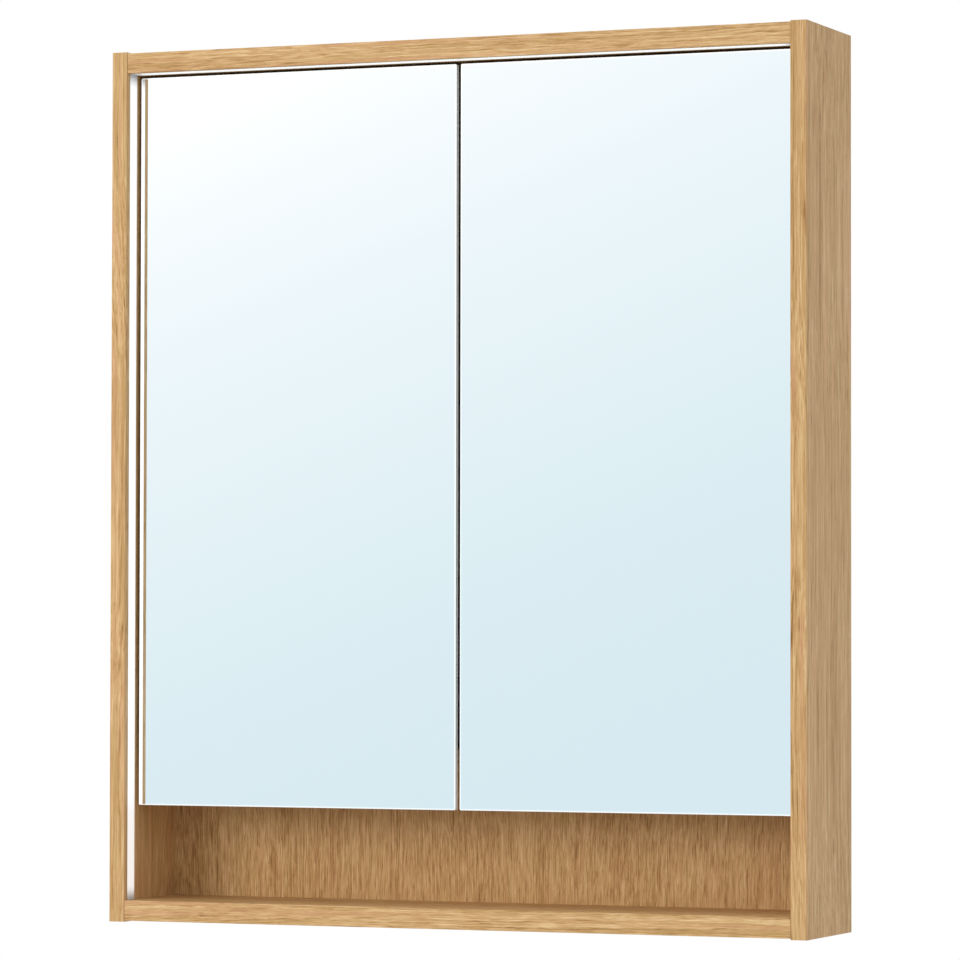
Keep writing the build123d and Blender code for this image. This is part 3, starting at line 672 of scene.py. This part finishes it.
def islands(name):  # the lowest and highest corner of each separate body of a node
    shape = bmesh.new()
    shape.from_mesh(nodes[name].data)
    bmesh.ops.remove_doubles(shape, verts=shape.verts, dist=1e-6)
    waiting = set(shape.verts)
    boxes = []
    while waiting:
        found = [waiting.pop()]
        for corner in found:
            for edge in corner.link_edges:
                other = edge.other_vert(corner)
                if other in waiting:
                    waiting.remove(other)
                    found.append(other)
        spots = [corner.co for corner in found]
        boxes.append([Vector([pick(spot[i] for spot in spots) for i in range(3)]) for pick in (min, max)])
    shape.free()
    return sorted(boxes, key=lambda box: tuple(box[0]))


def growScrews(name, body, tree):
    width = screwLook["headRadius"] * 2
    lengths = {}
    for low, high in islands(name):
        size = high - low
        axis = max(range(3), key=lambda i: abs(size[i] - width))
        sign = 1 if axis == 1 or low[0] < 0 else -1  # heads face the inside, or the wall
        place = (low + high) / 2
        place[axis] = high[axis] if sign > 0 else low[axis]
        outward = Vector([sign if i == axis else 0 for i in range(3)])
        lengths.setdefault(round(size[axis], 5), []).append((place, outward))
    whole = bmesh.new()
    for length, heads in sorted(lengths.items()):
        mesh = bpy.data.meshes.new(name + "_places")
        mesh.from_pydata([place for place, outward in heads], [], [])
        directions = mesh.attributes.new("outward", "FLOAT_VECTOR", "POINT")
        for item, (place, outward) in zip(directions.data, heads):
            item.vector = outward
        grown = bpy.data.objects.new(name + "_places", mesh)
        bpy.context.scene.collection.objects.link(grown)
        modifier = grown.modifiers.new("screws", "NODES")
        modifier.node_group = tree
        values = {
            "Length": length,
            "Head Radius": screwLook["headRadius"],
            "Shank Radius": screwLook["shankRadius"],
            "Pitch": screwLook["pitch"],
        }
        for item in tree.interface.items_tree:
            if item.name in values:
                modifier[item.identifier] = values[item.name]
        result = bpy.data.meshes.new_from_object(grown.evaluated_get(bpy.context.evaluated_depsgraph_get()))
        whole.from_mesh(result)
        bpy.data.objects.remove(grown)
        bpy.data.meshes.remove(result)
    mesh = bpy.data.meshes.new("threaded_" + name)
    whole.to_mesh(mesh)
    whole.free()
    mesh.materials.append(zinc)
    piece = bpy.data.objects.new("threaded_" + name, mesh)
    bpy.context.scene.collection.objects.link(piece)
    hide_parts(name)
    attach(piece, body)


screwTree = screwPlan(zinc)
screwHomes = {
    "arm_screws": "cabinet",
    "bracket_screws": "cabinet",
    "driver_screws": "cabinet",
    "left_leaf_screws": "left_door",
    "right_leaf_screws": "right_door",
}
for screwNode, screwBody in screwHomes.items():
    growScrews(screwNode, screwBody, screwTree)
print("stage: screws")


# Camera, lights and floor

cameraLook = {
    "place": (1.9669, -4.7957, 0.3221),
    "turn": 22.244,  # degrees to the left of straight ahead
    "tilt": 1.742,
    "roll": 0.096,
    "lens": 180.65,
    "sensor": 36.0,
}


def makeCamera():
    data = bpy.data.cameras.new("camera")
    data.lens = cameraLook["lens"]
    data.sensor_width = cameraLook["sensor"]
    camera = bpy.data.objects.new("camera", data)
    bpy.context.scene.collection.objects.link(camera)
    turn = Matrix.Rotation(math.radians(cameraLook["turn"]), 4, "Z")
    tilt = Matrix.Rotation(math.radians(90 + cameraLook["tilt"]), 4, "X")
    roll = Matrix.Rotation(math.radians(cameraLook["roll"]), 4, "Z")
    camera.matrix_world = Matrix.Translation(cameraLook["place"]) @ turn @ tilt @ roll
    bpy.context.scene.camera = camera


studioLook = {
    "fill": 0.9,
    "fillFront": 0.1,  # more light from the front
    "fillBelow": 0.65,  # share of it that comes from below
    "fillLeft": (1.0, 0.99, 0.97, 1),
    "fillRight": (1.02, 1.0, 1.02, 1),
    "card": [  # what the mirrors show, from the lower right to the upper left
        (0.00, tone(217, 234, 241)),
        (0.24, tone(219, 236, 242)),
        (0.36, tone(223, 239, 244)),
        (0.53, tone(230, 242, 247)),
        (0.72, tone(238, 247, 251)),
        (0.88, tone(248, 252, 254)),
        (1.00, (1.03, 1.03, 1.03, 1)),
    ],
    "cardRise": 8.0,  # how fast the card brightens upwards
    "cardSlant": 3.8,  # and to the left
    "cardStart": 1.1,
    "cardSpan": 1.4,
    "floorHeight": -1.1,
    "floorRadius": 14.0,
    "floorFade": (0.8, 2.5),  # m from the middle, from paint to plain white
    "floorPaint": (tone(238, 238, 236), tone(244, 244, 243)),
}


def makeWorld():
    world = bpy.data.worlds.new("studio")
    bpy.context.scene.world = world
    air = Finish("studio", world)
    x, y, z = air.split(air.node("ShaderNodeTexCoord", output="Generated"))
    height = z * studioLook["cardRise"] - x * studioLook["cardSlant"] - studioLook["cardStart"]
    card = air.ramp(height / studioLook["cardSpan"], studioLook["card"])
    path = air.node("ShaderNodeLightPath", output="Is Camera Ray")
    front = (0 - y).ease(-0.2, 1.0)
    below = studioLook["fillBelow"]
    rise = below + z.ease(-0.25, 0.25) * (1 - below)
    strength = (studioLook["fill"] + front * studioLook["fillFront"]) * rise
    side = air.blend(x * 0.5 + 0.5, studioLook["fillLeft"], studioLook["fillRight"])
    fill = air.node("ShaderNodeVectorMath", {"operation": "SCALE"}, {0: side, "Scale": strength})
    seen = air.blend(path.out("Is Glossy Ray"), fill, card)
    seen = air.blend(path, seen, (1, 1, 1, 1))
    ground = air.node("ShaderNodeBackground", None, {0: seen, 1: 1.0})
    air.node("ShaderNodeOutputWorld", None, {0: ground})


keyLook = {
    "place": (-2.6, -4.6, 1.3),
    "size": (2.2, 2.2),
    "power": 86,
    "colour": (1.0, 0.985, 0.96),
}


def makeLight(name, aim, look):
    data = bpy.data.lights.new(name, "AREA")
    data.shape = "RECTANGLE"
    data.size, data.size_y = look["size"]
    data.energy = look["power"]
    data.color = look["colour"]
    light = bpy.data.objects.new(name, data)
    bpy.context.scene.collection.objects.link(light)
    place = Vector(look["place"])
    turn = (Vector(aim) - place).to_track_quat("-Z", "Y").to_matrix().to_4x4()
    light.matrix_world = Matrix.Translation(place) @ turn
    light.visible_glossy = False


def makeFloor():
    mesh = bpy.data.meshes.new("studio_floor")
    build = bmesh.new()
    place = Matrix.Translation((0, 0, studioLook["floorHeight"]))
    radius = studioLook["floorRadius"]
    bmesh.ops.create_circle(build, cap_ends=True, segments=96, radius=radius, matrix=place)
    build.to_mesh(mesh)
    build.free()
    floor = bpy.data.objects.new("studio_floor", mesh)
    bpy.context.scene.collection.objects.link(floor)
    finish = Finish("floor_paint")
    x, y = finish.split(finish.place())[:2]
    spot = finish.noise(finish.place(), (3, 3, 3), (1, 1, 1), 2.0)
    distance = (x * x + y * y).root()
    paint = finish.blend(spot * 0.5, *studioLook["floorPaint"])
    plain = finish.node("ShaderNodeBsdfDiffuse", None, {0: paint})
    bright = finish.node("ShaderNodeEmission", None, {0: (1, 1, 1, 1), 1: 1.0})
    fade = distance.ease(*studioLook["floorFade"])
    mixed = finish.node("ShaderNodeMixShader", None, {0: fade, 1: plain, 2: bright})
    finish.node("ShaderNodeOutputMaterial", None, {0: mixed})
    mesh.materials.append(finish.owner)
    floor.visible_diffuse = False
    floor.visible_glossy = False


makeCamera()
makeWorld()
makeLight("key", (cadLow + cadHigh) / 2, keyLook)
makeFloor()
bpy.context.scene.view_settings.view_transform = "Standard"
print("stage: camera, lights and floor")
